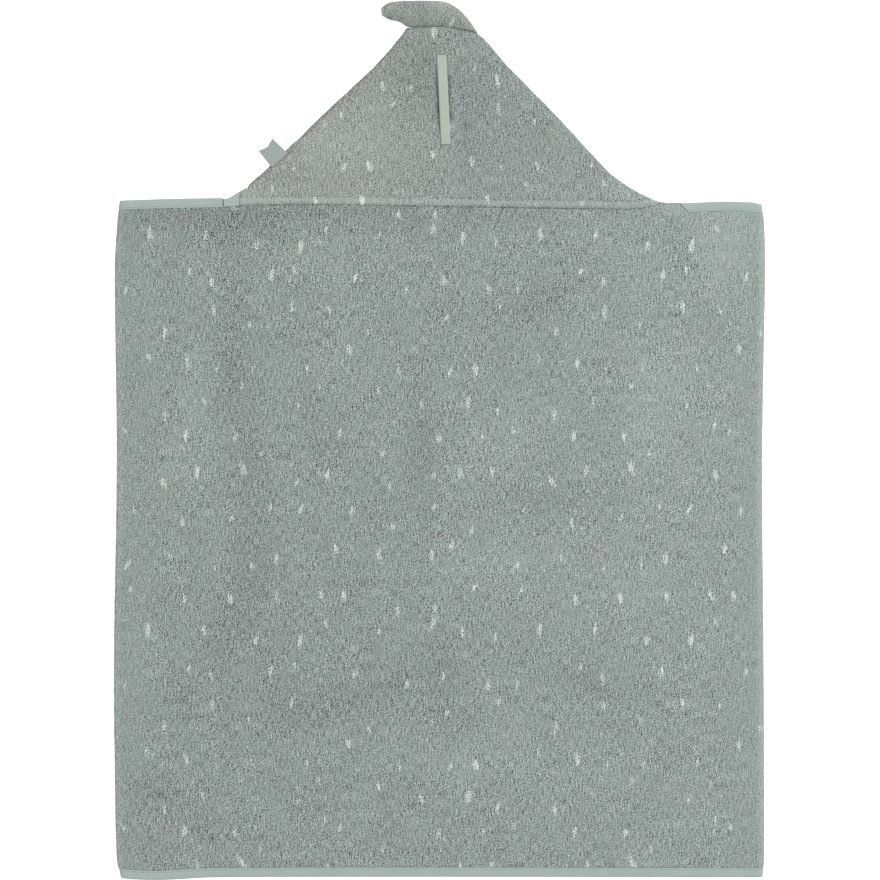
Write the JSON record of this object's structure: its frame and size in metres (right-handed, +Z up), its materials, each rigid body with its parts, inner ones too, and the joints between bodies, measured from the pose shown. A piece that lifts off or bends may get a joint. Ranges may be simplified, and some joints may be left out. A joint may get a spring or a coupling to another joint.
{
  "type": "baby bath cape",
  "caption": "Hooded wrap-around bath cape for a small child, in printed terry cloth with tape-bound edges, lying flat on its front, with a padded crest on the hood.",
  "frame": {"origin": "middle of the cape's bounding box, on the surface that it lies on", "axes": "+X towards the wearer's right, +Y from the hem to the hood, +Z up, out of the back of the cape"},
  "size_m": [0.675, 0.913, 0.0142],
  "materials": {
    "terry": "looped cotton pile with scattered short pale dashes",
    "tape": "flat woven cotton tape",
    "loop": "flat woven cotton tape",
    "label": "smooth woven ribbon, blank"
  },
  "bodies": {
    "root": {"body": "terry", "hood_back": "terry", "hood_front": "terry", "crest": "terry", "binding_hem": "tape", "binding_top_left": "tape", "binding_top_right": "tape", "binding_front_left": "tape", "binding_front_right": "tape", "face_binding": "tape", "face_binding_end": "tape", "hanging_loop": "loop", "side_label": "label"}
  },
  "joints": []
}
